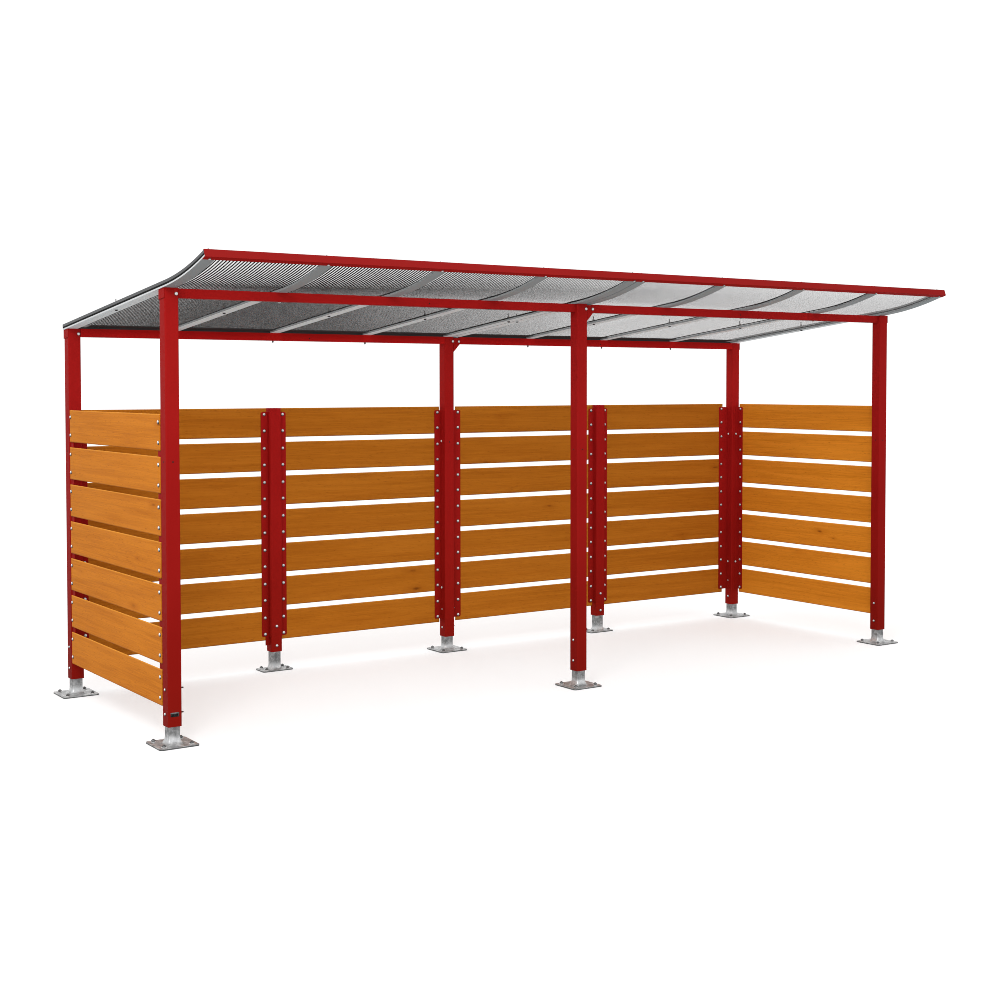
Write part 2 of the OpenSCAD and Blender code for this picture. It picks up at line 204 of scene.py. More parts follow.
def ring_sweep(b, cx, cy, half_x, half_y, r0, profile, mat=0, arc=5):
    """Closed profile of (outward offset, z) swept round a rounded rectangle."""
    path = []
    for qx, qy, a0 in ((1, 1, 0.0), (-1, 1, 90.0), (-1, -1, 180.0), (1, -1, 270.0)):
        for k in range(arc + 1):
            t = math.radians(a0 + 90.0 * k / arc)
            path.append((qx * (half_x - r0), qy * (half_y - r0), math.cos(t), math.sin(t)))
    verts, n, m = [], len(path), len(profile)
    for px, py, c, s in path:
        for off, z in profile:
            verts.append((cx + px + (r0 + off) * c, cy + py + (r0 + off) * s, z))
    faces = []
    for i in range(n):
        j = (i + 1) % n
        for k in range(m):
            q = (k + 1) % m
            faces.append((i * m + k, j * m + k, j * m + q, i * m + q))
    b.add(verts, faces, mat, True)


# ---------------------------------------------------------------- materials
class Mat:
    def __init__(self, name):
        self.m = bpy.data.materials.new(name)
        self.m.use_nodes = True
        self.t = self.m.node_tree
        self.t.nodes.clear()
        self.out = self.t.nodes.new("ShaderNodeOutputMaterial")
        self.p = self.t.nodes.new("ShaderNodeBsdfPrincipled")
        self.t.links.new(self.p.outputs[0], self.out.inputs[0])

    def node(self, kind, **props):
        n = self.t.nodes.new("ShaderNode" + kind)
        for k, v in props.items():
            setattr(n, k, v)
        return n

    def link(self, a, b):
        self.t.links.new(a, b)

    def put(self, **values):
        for k, v in values.items():
            self.p.inputs[k.replace("_", " ")].default_value = v

    def coords(self, scale=(1, 1, 1), attribute=None, rot=(0, 0, 0), loc=(0, 0, 0)):
        if attribute:
            src = self.node("Attribute", attribute_name=attribute).outputs["Vector"]
        else:
            src = self.node("TexCoord").outputs["Object"]
        mp = self.node("Mapping")
        mp.inputs["Scale"].default_value = scale
        mp.inputs["Rotation"].default_value = rot
        mp.inputs["Location"].default_value = loc
        self.link(src, mp.inputs["Vector"])
        return mp.outputs["Vector"]

    def noise(self, vec, scale=1.0, detail=2.0, rough=0.5, distortion=0.0):
        n = self.node("TexNoise")
        n.inputs["Scale"].default_value = scale
        n.inputs["Detail"].default_value = detail
        n.inputs["Roughness"].default_value = rough
        n.inputs["Distortion"].default_value = distortion
        self.link(vec, n.inputs["Vector"])
        return n.outputs["Fac"]

    def voronoi(self, vec, scale=1.0, feature="F1", randomness=1.0):
        n = self.node("TexVoronoi", feature=feature)
        n.inputs["Scale"].default_value = scale
        n.inputs["Randomness"].default_value = randomness
        self.link(vec, n.inputs["Vector"])
        return n

    def ramp(self, fac, stops, smooth=False):
        n = self.node("ValToRGB")
        e = n.color_ramp.elements
        while len(e) < len(stops):
            e.new(0.5)
        for el, (pos, col) in zip(e, stops):
            el.position = pos
            el.color = col if len(col) == 4 else (*col, 1.0)
        n.color_ramp.interpolation = "EASE" if smooth else "LINEAR"
        self.link(fac, n.inputs["Fac"])
        return n.outputs["Color"]

    def span(self, fac, a, b, lo, hi):
        n = self.node("MapRange")
        n.inputs["From Min"].default_value = a
        n.inputs["From Max"].default_value = b
        n.inputs["To Min"].default_value = lo
        n.inputs["To Max"].default_value = hi
        self.link(fac, n.inputs["Value"])
        return n.outputs["Result"]

    def mix(self, fac, a, b, blend="MIX"):
        n = self.node("Mix", data_type="RGBA", blend_type=blend)
        for sock, val in ((n.inputs[0], fac), (n.inputs[6], a), (n.inputs[7], b)):
            if isinstance(val, (int, float)):
                sock.default_value = val
            elif isinstance(val, tuple):
                sock.default_value = val if len(val) == 4 else (*val, 1.0)
            else:
                self.link(val, sock)
        return n.outputs[2]

    def math(self, op, a, b=None):
        n = self.node("Math", operation=op)
        for sock, val in zip(n.inputs, (a, b)):
            if val is None:
                continue
            if isinstance(val, (int, float)):
                sock.default_value = val
            else:
                self.link(val, sock)
        return n.outputs[0]

    def bump(self, height, strength, distance):
        n = self.node("Bump")
        n.inputs["Strength"].default_value = strength
        n.inputs["Distance"].default_value = distance
        self.link(height, n.inputs["Height"])
        self.link(n.outputs["Normal"], self.p.inputs["Normal"])


def grey(v):
    return (v, v, v)


def red_coat(name="red_powder_coat", k=1.35, lip=False):
    a = Mat(name)
    big = a.noise(a.coords(), 2.3, 3.0, 0.55)
    fine = a.noise(a.coords(), 420.0, 2.0, 0.6)
    col = a.ramp(big, [(0.3, (0.255 * k, 0.0092, 0.0084)), (0.5, (0.272 * k, 0.0102, 0.0094)), (0.72, (0.290 * k, 0.0116, 0.0106))])
    col = a.mix(a.span(fine, 0.3, 0.7, 0.0, 0.16), col, (0.205 * k, 0.0060, 0.0054))
    xyz = a.node("SeparateXYZ")
    a.link(a.coords(), xyz.inputs[0])
    if lip:
        # painted light and shade along the lip: the left end a little darker, and the faces turned down, such as the
        # lower flange, a little paler
        tone = a.ramp(a.span(xyz.outputs[0], -2.5, 2.5, 0.0, 1.0), [(0.0, (0.61, 1.05, 1.05)), (0.28, (0.66, 1.12, 1.12)), (0.5, (0.70, 1.18, 1.18)), (0.72, (0.69, 1.17, 1.17)), (1.0, (0.68, 1.15, 1.15))])
        geo = a.node("NewGeometry")
        nor = a.node("SeparateXYZ")
        a.link(geo.outputs["Normal"], nor.inputs[0])
        tone = a.mix(a.span(nor.outputs[2], -0.7, -0.4, 1.0, 0.0), tone, grey(1.0))
    else:
        # painted shade: darker and warmer towards the ground
        tone = a.ramp(a.span(xyz.outputs[2], 0.0, 2.2, 0.0, 1.0),
                      [(0.045, (0.60, 0.73, 0.46)), (0.155, (0.68, 0.77, 0.55)), (0.32, (0.77, 0.81, 0.69)), (0.50, (0.855, 0.865, 0.83)), (0.71, grey(0.92)), (0.86, grey(0.96)), (0.95, grey(1.0))])
        # painted light: the back row, in the shade of the roof, a little lighter than the front row
        tone = a.mix(1.0, tone, a.ramp(a.span(xyz.outputs[1], -0.7, 1.0, 0.0, 1.0), [(0.2, grey(0.87)), (0.75, grey(0.99)), (0.9, grey(1.0))]), "MULTIPLY")
        # painted shade: the left back corner a little darker
        corner_shade = a.math("MULTIPLY", a.span(xyz.outputs[0], -2.35, -2.25, 1.0, 0.0), a.span(xyz.outputs[1], 0.6, 0.7, 0.0, 1.0))
        tone = a.mix(1.0, tone, a.ramp(corner_shade, [(0.0, grey(1.0)), (1.0, grey(0.84))]), "MULTIPLY")
    a.link(a.mix(1.0, col, tone, "MULTIPLY"), a.p.inputs["Base Color"])
    a.link(a.span(a.noise(a.coords(), 26.0, 3.0), 0.3, 0.7, 0.40, 0.50), a.p.inputs["Roughness"])
    a.put(Specular_IOR_Level=0.012)
    a.bump(a.noise(a.coords(), 750.0, 1.0), 0.10, 0.0004)
    return a.m


def zinc():
    a = Mat("hot_dip_zinc")
    cell = a.voronoi(a.coords(), 70.0)
    sp = a.node("SeparateColor")
    a.link(cell.outputs["Color"], sp.inputs[0])
    cloud = a.noise(a.coords(), 38.0, 5.0, 0.68)
    base = a.ramp(sp.outputs[0], [(0.0, grey(0.40)), (0.5, grey(0.52)), (1.0, grey(0.66))])
    base = a.mix(a.span(cloud, 0.40, 0.66, 0.0, 0.80), base, (0.15, 0.152, 0.155))
    # painted highlight where the foot spreads out, painted shade up the stub, and a near-black painted shade along
    # the plate's edge at the ground
    xyz = a.node("SeparateXYZ")
    a.link(a.coords(), xyz.inputs[0])
    base = a.mix(a.ramp(xyz.outputs[2], [(0.012, grey(0.0)), (0.022, grey(0.50)), (0.036, grey(0.50)), (0.055, grey(0.0))]), base, (0.66, 0.67, 0.68))
    base = a.mix(1.0, base, a.ramp(xyz.outputs[2], [(0.030, grey(1.0)), (0.060, grey(0.54))]), "MULTIPLY")
    base = a.mix(a.ramp(xyz.outputs[2], [(0.0056, grey(0.85)), (0.0078, grey(0.0))]), base, grey(0.03))
    a.link(base, a.p.inputs["Base Color"])
    a.link(a.span(sp.outputs[1], 0.0, 1.0, 0.34, 0.56), a.p.inputs["Roughness"])
    a.put(Metallic=0.6)
    a.bump(cloud, 0.25, 0.0012)
    return a.m


def bolt_steel_painted_light(name="bolt_steel_painted_light", low=0.03, mid=0.48, high=0.95):
    a = Mat(name)
    n1 = a.noise(a.coords(), 160.0, 3.0, 0.6)
    # painted light and shade: darker underneath, brighter on top
    geo = a.node("NewGeometry")
    nz = a.node("SeparateXYZ")
    a.link(geo.outputs["Normal"], nz.inputs[0])
    tone = a.ramp(a.span(nz.outputs[2], -1.0, 1.0, 0.0, 1.0), [(0.22, grey(low)), (0.46, grey(mid)), (0.72, grey(high))])
    a.link(a.mix(a.span(n1, 0.35, 0.7, 0.0, 0.25), tone, grey(mid * 0.8)), a.p.inputs["Base Color"])
    a.link(a.span(n1, 0.3, 0.7, 0.28, 0.42), a.p.inputs["Roughness"])
    a.put(Metallic=0.35)
    a.bump(a.noise(a.coords(), 900.0, 1.0), 0.06, 0.0002)
    return a.m


def aluminium():
    a = Mat("mill_aluminium")
    streak = a.noise(a.coords((420.0, 3.0, 420.0)), 1.0, 3.0, 0.6)
    cloud = a.noise(a.coords((9.0, 1.2, 9.0)), 1.0, 2.0)
    pos = a.node("SeparateXYZ")
    a.link(a.coords(), pos.inputs[0])
    geo = a.node("NewGeometry")
    nor = a.node("SeparateXYZ")
    a.link(geo.outputs["Normal"], nor.inputs[0])
    # painted reflection: bright flat lengths, darker bent front ends; painted shade on the inner sides and painted
    # light on the sides at the roof ends
    base = a.mix(a.span(pos.outputs[1], -0.53, -0.48, 0.0, 1.0), (0.305, 0.327, 0.336), (0.86, 0.94, 0.97))
    wide = a.math("ABSOLUTE", a.math("ADD", pos.outputs[0], 0.019))
    side_light_and_shade = a.mix(a.span(wide, 2.508, 2.512, 0.0, 1.0), (0.24, 0.243, 0.245), (0.60, 0.605, 0.61))
    base = a.mix(a.span(a.math("ABSOLUTE", nor.outputs[0]), 0.4, 0.6, 0.0, 1.0), base, side_light_and_shade)
    base = a.mix(1.0, base, a.ramp(streak, [(0.25, grey(0.93)), (0.75, grey(1.0))]), "MULTIPLY")
    base = a.mix(1.0, base, a.ramp(cloud, [(0.3, grey(0.94)), (0.7, grey(1.0))]), "MULTIPLY")
    a.link(base, a.p.inputs["Base Color"])
    a.link(a.span(streak, 0.3, 0.7, 0.38, 0.52), a.p.inputs["Roughness"])
    # painted light: a faint cool glow, though the bar is no lamp, against the red and wood tones around it
    a.put(Metallic=0.06, Specular_IOR_Level=0.15, Emission_Color=(0.68, 0.945, 0.985, 1.0), Emission_Strength=0.042)
    a.bump(streak, 0.05, 0.0003)
    return a.m


def inward(a):
    """One on faces near a roof end that are turned to the middle of the roof or down; the callers paint light on
    these faces.
    """
    pos = a.node("SeparateXYZ")
    a.link(a.coords(), pos.inputs[0])
    geo = a.node("NewGeometry")
    nor = a.node("SeparateXYZ")
    a.link(geo.outputs["Normal"], nor.inputs[0])
    x = a.math("ADD", pos.outputs[0], 0.019)
    turn = a.math("MULTIPLY", nor.outputs[0], a.math("SIGN", x))
    face = a.math("MAXIMUM", a.span(turn, -0.6, -0.4, 1.0, 0.0), a.span(nor.outputs[2], -0.8, -0.6, 1.0, 0.0))
    return a.math("MULTIPLY", face, a.span(a.math("ABSOLUTE", x), 2.40, 2.42, 0.0, 1.0))


def rubber():
    a = Mat("black_seal")
    n1 = a.noise(a.coords(), 60.0, 3.0, 0.6)
    xyz = a.node("SeparateXYZ")
    a.link(a.coords(), xyz.inputs[0])
    back = a.span(xyz.outputs[1], 0.79, 0.81, 0.0, 1.0)
    inner = a.span(a.math("ABSOLUTE", a.math("ADD", xyz.outputs[0], 0.019)), 2.505, 2.512, 1.0, 0.0)
    base = a.ramp(n1, [(0.3, grey(0.003)), (0.7, grey(0.007))])
    base = a.mix(a.math("MULTIPLY", back, inner), base, grey(0.045))
    # painted light: the faces at the roof ends turned inward or down are made pale and glow faintly
    pale = inward(a)
    a.link(a.mix(pale, base, grey(0.20)), a.p.inputs["Base Color"])
    a.link(a.mix(pale, grey(0.0), grey(0.10)), a.p.inputs["Emission Color"])
    a.put(Emission_Strength=1.0)
    a.link(a.span(n1, 0.3, 0.7, 0.60, 0.80), a.p.inputs["Roughness"])
    a.put(Specular_IOR_Level=0.06)
    a.bump(a.noise(a.coords(), 500.0, 1.0), 0.1, 0.0003)
    return a.m


def cover():
    a = Mat("dark_cover_strip")
    n1 = a.noise(a.coords((60.0, 2.0, 60.0)), 1.0, 3.0, 0.6)
    n2 = a.noise(a.coords(), 5.0, 3.0)
    base = a.ramp(n1, [(0.3, (0.040, 0.042, 0.045)), (0.7, (0.060, 0.062, 0.066))])
    base = a.mix(a.span(n2, 0.4, 0.75, 0.0, 0.4), base, (0.075, 0.076, 0.078))
    # painted light: the faces at the roof ends turned inward or down are made pale
    pale = inward(a)
    a.link(a.mix(pale, base, (0.30, 0.303, 0.306)), a.p.inputs["Base Color"])
    # painted light: they also glow faintly, though they are no lamp
    a.link(a.mix(pale, grey(0.0), grey(0.09)), a.p.inputs["Emission Color"])
    a.put(Emission_Strength=1.0)
    a.link(a.span(n1, 0.3, 0.7, 0.38, 0.52), a.p.inputs["Roughness"])
    a.put(Specular_IOR_Level=0.4)
    a.bump(a.noise(a.coords(), 600.0, 1.0), 0.06, 0.0003)
    return a.m


def clear_skin():
    a = Mat("clear_skin")
    n1 = a.noise(a.coords((1.4, 0.5, 1.4)), 1.0, 3.0, 0.55)
    a.link(a.ramp(n1, [(0.3, (0.25, 0.254, 0.258)), (0.7, (0.30, 0.304, 0.308))]), a.p.inputs["Base Color"])
    a.link(a.span(n1, 0.3, 0.7, 0.55, 0.65), a.p.inputs["Roughness"])
    # clear seen square on, greyer at a low angle as thin clear plastic is
    lw = a.node("LayerWeight")
    lw.inputs["Blend"].default_value = 0.5
    low = a.ramp(lw.outputs["Facing"], [(0.55, grey(0.060)), (0.70, grey(0.075)), (0.80, grey(0.105)), (0.90, grey(0.115))])
    a.link(low, a.p.inputs["Alpha"])
    a.put(Specular_IOR_Level=0.05)
    return a.m


def clear_rib():
    a = Mat("clear_rib")
    n1 = a.noise(a.coords((3.0, 0.7, 3.0)), 1.0, 2.0, 0.5)
    a.link(a.ramp(n1, [(0.3, grey(0.003)), (0.7, grey(0.006))]), a.p.inputs["Base Color"])
    # a thin clear web: it passes light seen square on and goes dark at a low angle
    lw = a.node("LayerWeight")
    lw.inputs["Blend"].default_value = 0.5
    xyz = a.node("SeparateXYZ")
    a.link(a.coords(), xyz.inputs[0])
    bent = a.ramp(lw.outputs["Facing"], [(0.20, grey(0.03)), (0.277, grey(0.057)), (0.31, grey(0.106)), (0.351, grey(0.194)), (0.40, grey(0.37)), (0.455, grey(0.62)), (0.50, grey(0.82)), (0.545, grey(0.97))])
    flat = a.ramp(lw.outputs["Facing"], [(0.30, grey(0.03)), (0.385, grey(0.045)), (0.41, grey(0.10)), (0.44, grey(0.20)), (0.485, grey(0.34)), (0.51, grey(0.44)), (0.54, grey(0.57)), (0.58, grey(0.645)), (0.65, grey(0.68)), (0.72, grey(0.74))])
    a.link(a.mix(a.span(xyz.outputs[1], -0.80, -0.45, 0.0, 1.0), bent, flat), a.p.inputs["Alpha"])
    a.link(a.span(n1, 0.3, 0.7, 0.40, 0.55), a.p.inputs["Roughness"])
    a.put(Specular_IOR_Level=0.05)
    return a.m


def wood(name, k, plus_x_shade=1.0):
    """Printed honey wood; k lightens the whole board (the higher k of the end panels is painted light), and the last
    argument darkens the faces turned to +X as painted shade.
    """
    a = Mat(name)

    def c(r, g, b):
        return (r * k, g * k ** 1.15, b * k ** 1.2)

    # the grain runs along the first axis of the board's own coordinates
    fine = a.noise(a.coords((5.0, 300.0, 1.0), "gc"), 1.0, 5.0, 0.72)
    mid = a.noise(a.coords((1.6, 62.0, 1.0), "gc"), 1.0, 3.0, 0.6, 0.5)
    wide = a.noise(a.coords((0.8, 11.0, 1.0), "gc"), 1.0, 2.0, 0.5, 0.9)
    fleck = a.noise(a.coords((26.0, 210.0, 1.0), "gc"), 1.0, 3.0, 0.7)
    col = a.ramp(fine, [(0.28, c(0.245, 0.066, 0.0042)), (0.5, c(0.320, 0.094, 0.0068)), (0.74, c(0.385, 0.122, 0.0105))])
    col = a.mix(a.span(mid, 0.44, 0.70, 0.0, 0.55), col, c(0.225, 0.057, 0.0034))
    col = a.mix(a.span(wide, 0.42, 0.70, 0.0, 0.45), col, c(0.390, 0.125, 0.0115))
    col = a.mix(a.span(fleck, 0.58, 0.72, 0.0, 0.72), col, c(0.170, 0.040, 0.0026))
    # knots: stretched spots with a soft rim, some of them left out
    src = a.coords((2.5, 8.5, 1.0), "gc")
    wn = a.node("TexNoise")
    wn.inputs["Scale"].default_value = 6.0
    a.link(src, wn.inputs["Vector"])
    off = a.node("VectorMath", operation="SCALE")
    off.inputs["Scale"].default_value = 0.12
    a.link(wn.outputs["Color"], off.inputs[0])
    kv = a.node("VectorMath", operation="ADD")
    a.link(src, kv.inputs[0])
    a.link(off.outputs[0], kv.inputs[1])
    vo = a.voronoi(kv.outputs[0], 1.0)
    pick = a.node("SeparateColor")
    a.link(vo.outputs["Color"], pick.inputs[0])
    size = a.math("MAXIMUM", a.span(pick.outputs[0], 0.30, 1.0, 0.0, 0.105), 0.001)
    for grow, soft, tone in ((3.0, 0.50, c(0.235, 0.058, 0.0035)), (1.0, 0.88, c(0.095, 0.021, 0.0020))):
        near = a.node("MapRange")
        near.inputs["To Min"].default_value = 1.0
        near.inputs["To Max"].default_value = 0.0
        a.link(vo.outputs["Distance"], near.inputs["Value"])
        a.link(a.math("MULTIPLY", size, grow), near.inputs["From Max"])
        col = a.mix(a.span(near.outputs[0], 0.0, 0.7, 0.0, soft), col, tone)
    # each board a little lighter or darker than the next
    sep = a.node("SeparateXYZ")
    a.link(a.coords((1, 1, 1), "gc"), sep.inputs[0])
    wnz = a.node("TexWhiteNoise", noise_dimensions="1D")
    a.link(sep.outputs[2], wnz.inputs["W"])
    col = a.mix(a.span(wnz.outputs["Value"], 0.0, 1.0, 0.0, 0.22), col, c(0.255, 0.070, 0.0045))
    # painted highlight along the upper arris and painted shade along the lower one
    pos = a.node("SeparateXYZ")
    a.link(a.coords(), pos.inputs[0])
    part = a.math("FRACT", a.span(pos.outputs[2], 1.6, 1.6 - BOARD_PITCH * 0.008, 0.0, 8.0))
    col = a.mix(a.ramp(part, [(0.008, grey(0.45)), (0.030, grey(0.0))]), col, c(0.52, 0.21, 0.030))
    col = a.mix(a.ramp(part, [(0.826, grey(0.0)), (0.850, grey(0.62))]), col, c(0.10, 0.024, 0.0020))
    # painted shade: the faces turned to +X are darkened
    if plus_x_shade != 1.0:
        geo = a.node("NewGeometry")
        nor = a.node("SeparateXYZ")
        a.link(geo.outputs["Normal"], nor.inputs[0])
        col = a.mix(1.0, col, a.ramp(a.span(nor.outputs[0], -0.2, 0.2, 0.0, 1.0), [(0.0, grey(1.0)), (1.0, grey(plus_x_shade))]), "MULTIPLY")
    a.link(col, a.p.inputs["Base Color"])
    a.link(a.span(fine, 0.3, 0.7, 0.46, 0.58), a.p.inputs["Roughness"])
    a.put(Specular_IOR_Level=0.02)
    a.bump(fine, 0.15, 0.0004)
    return a.m


def painted_hole_shade():
    # painted shade: a near-black, red-tinted disc stands in for the shade inside an open hole
    a = Mat("hole_painted_shade_disc")
    n1 = a.noise(a.coords(), 200.0, 2.0)
    a.link(a.ramp(n1, [(0.3, (0.012, 0.003, 0.003)), (0.7, (0.030, 0.006, 0.006))]), a.p.inputs["Base Color"])
    a.link(a.span(n1, 0.3, 0.7, 0.5, 0.7), a.p.inputs["Roughness"])
    a.put(Specular_IOR_Level=0.2)
    return a.m


RED, ZINC, STEEL, ALU = red_coat(), zinc(), bolt_steel_painted_light(), aluminium()
RED_LIP = red_coat("red_lip_coat", 1.40, True)
# a lighter copy of the coat for the back beams: painted light against the shade there
RED_REAR = red_coat("red_rear_beam_coat_painted_light", 1.78)
DARK_STEEL = bolt_steel_painted_light("shaded_steel", 0.02, 0.06, 0.16)
WHITE_STEEL = bolt_steel_painted_light("bright_steel", 0.74, 0.78, 0.82)
STUD_STEEL = bolt_steel_painted_light("stud_steel", 0.18, 0.26, 0.34)
RUBBER, COVER, SKIN, RIB, HOLE_M = rubber(), cover(), clear_skin(), clear_rib(), painted_hole_shade()
# the end panels take lighter copies of the wood: painted light
WOOD, WOOD_L, WOOD_R = wood("honey_wood_board", 1.28), wood("pale_honey_wood_board", 1.74), wood("honey_wood_board_painted_light_right", 1.96, 0.88)

for name, ob in N.items():
    if name.startswith("foot"):
        m = ZINC
    elif name.startswith("boards"):
        m = WOOD
    elif name.startswith("bars"):
        m = ALU
    elif name == "seals":
        m = RUBBER
    elif name == "covers":
        m = COVER
    elif name.startswith("sheets"):
        m = SKIN
    elif name.startswith("lip"):
        m = RED_LIP
    elif name.startswith("beam_back"):
        m = RED_REAR
    else:
        m = RED
    ob.data.materials.clear()
    ob.data.materials.append(m)

# ------------------------------------------------------------------- boards
rng = random.Random(7)


def board_panel(name, node):
    """Seven thin boards with rounded arrises in place of the plain ones."""
    lo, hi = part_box(node)
    lo, hi = np.array(lo) * 1000, np.array(hi) * 1000
    along = 0 if hi[0] - lo[0] > hi[1] - lo[1] else 1
    thick = 1 - along
    b = Build()
    L, T = hi[along] - lo[along], hi[thick] - lo[thick]
    c = 1.1
    for i in range(BOARD_N):
        z1 = BOARD_TOP - i * BOARD_PITCH
        z0 = z1 - BOARD_H
        offu, offv, idn = rng.uniform(-40, 40), rng.uniform(-20, 20), rng.uniform(0, 60)
        # section across thickness and height, eight corners
        sec = [(c, 0), (T - c, 0), (T, c), (T, BOARD_H - c), (T - c, BOARD_H), (c, BOARD_H), (0, BOARD_H - c), (0, c)]
        verts, grain = [], []
        stations = [(0.0, 0.0), (c, 1.0), (L - c, 1.0), (L, 0.0)]
        for s, full in stations:
            for t, h in sec:
                tt = t if full else min(max(t, c), T - c)
                hh = h if full else min(max(h, c), BOARD_H - c)
                p = [0.0, 0.0, z0 + hh]
                p[along] = lo[along] + s
                p[thick] = lo[thick] + tt
                verts.append(p)
                grain.append((offu + s * 0.001, offv + (hh + tt) * 0.001, idn))
        k = len(sec)
        faces = [tuple(range(k))[::-1], tuple(range(3 * k, 4 * k))]
        for r in range(3):
            for q in range(k):
                w = (q + 1) % k
                faces.append((r * k + q, r * k + w, (r + 1) * k + w, (r + 1) * k + q))
        b.add(verts, faces, 0, False, grain)
    # the end panels take the lighter copies of the wood: painted light
    return b.make(name, [(WOOD_L if "left" in name else WOOD_R) if along else WOOD], [node], grain=True)


PANELS = ["boards_left_end", "boards_right_end", "boards_back_1", "boards_back_2", "boards_back_3", "boards_back_4"]
for node in PANELS:
    board_panel(node + "_grain", node)

# --------------------------------------------------------------- roof sheets
CUTS_L = [JOINT_X - ROOF_HALF, -1909.0, -1277.0, -645.0, JOINT_X]
CUTS_R = [JOINT_X, 607.0, 1239.0, 1871.0, JOINT_X + ROOF_HALF]


def curve_at(o, y0, arc=20, flat=3):
    pts = []
    for k in range(flat):
        y = y0 + (Y_BEND - y0) * k / flat
        pts.append(on_flat(y, o))
    for k in range(arc + 1):
        pts.append(bend(PITCH + (LIP_PITCH - PITCH) * k / arc, o))
    return pts


def roof_strip(b, x0, x1, o0, o1, y0, mat):
    """Closed strip that follows the roof from the back to the lip."""
    lo, up = curve_at(o0, y0), curve_at(o1, y0)
    n = len(lo)
    verts = []
    for (ya, za), (yb, zb) in zip(lo, up):
        verts += [(x0, ya, za), (x1, ya, za), (x1, yb, zb), (x0, yb, zb)]
    faces = [(0, 1, 2, 3), tuple(4 * (n - 1) + k for k in (3, 2, 1, 0))]
    smooth = [False, False]
    for i in range(n - 1):
        p, q = 4 * i, 4 * i + 4
        for k in range(4):
            j = (k + 1) % 4
            faces.append((p + k, q + k, q + j, p + j))
            smooth.append(True)
    b.add(verts, faces, mat, smooth)


def cell_sheet(name, node, cuts):
    b = Build()
    y0 = REAR_Y - 4.2
    for i in range(4):
        x0 = cuts[i] + (2.0 if i else 0.0)
        x1 = cuts[i + 1] - (2.0 if i < 3 else 0.0)
        if i == 0 and cuts[0] < -2500:
            x0 += 16.2
        if i == 3 and cuts[4] > 2490:
            x1 -= 16.2
        if cuts is CUTS_L and i == 3:
            x1 -= 3.0
        if cuts is CUTS_R and i == 0:
            x0 += 3.0
        roof_strip(b, x0, x1, O_SEAL + 0.05, O_SEAL + 0.8, y0, 0)
        roof_strip(b, x0, x1, O_SHEET - 0.8, O_SHEET - 0.05, y0, 0)
        n = round((x1 - x0) / 17.5)
        for k in range(n + 1):
            x = x0 + 0.3 + (x1 - x0 - 0.6) * k / n
            roof_strip(b, x - 0.3, x + 0.3, O_SEAL + 0.8, O_SHEET - 0.8, y0, 1)
    return b.make(name, [SKIN, RIB], [node], sharp=30.0)


cell_sheet("cell_sheets_left", "sheets_left", CUTS_L)
cell_sheet("cell_sheets_right", "sheets_right", CUTS_R)

# -------------------------------------------------------------- board bolts
front_flange = Y_BACK + POST / 2 - 8.0 - BOARD_T - 4.0
back_face = Y_BACK + POST / 2 - 8.0
half = X_RIGHT + POST / 2
ROWS = []
for i in range(BOARD_N):
    zc = BOARD_TOP - i * BOARD_PITCH - BOARD_H / 2
    ROWS += [zc - 50.0, zc + 50.0]
BACK_COLS = [X_LEFT + 35 + 26, X_SHORT_L - 35 - 26, X_SHORT_L + 35 + 26, X_MID - 35 - 26,
             X_MID + 35 + 61, X_SHORT_R - 35 - 26, X_SHORT_R + 35 + 26, X_RIGHT - 35 - 61]
END_COLS = [Y_FRONT + 35 + 26, Y_BACK - 35 - 26]

bb = Build()
for z in ROWS:
    for x in BACK_COLS:
        dome(bb, (x, front_flange, z), (0, -1, 0), wmat=1)
        dome(bb, (x, back_face, z), (0, 1, 0), wmat=1)
bb.make("bolts_back_boards", [STEEL, DARK_STEEL])
bb = Build()
for z in ROWS:
    for y in END_COLS:
        for s in (-1, 1):
            dome(bb, (s * half, y, z), (s, 0, 0), wmat=1)
            dome(bb, (s * (half - BOARD_T - 4.0), y, z), (-s, 0, 0), wmat=1)
bb.make("bolts_end_boards", [STEEL, DARK_STEEL])

# ------------------------------------------------------------------ feet
FEET = [(X_LEFT, Y_FRONT, 0), (X_MID, Y_FRONT, 0), (X_RIGHT, Y_FRONT, 0),
        (X_LEFT, Y_BACK, 0), (X_MID, Y_BACK, 0), (X_RIGHT, Y_BACK, 0),
        (X_SHORT_L, Y_SHORT, 1), (X_SHORT_R, Y_SHORT, 1)]

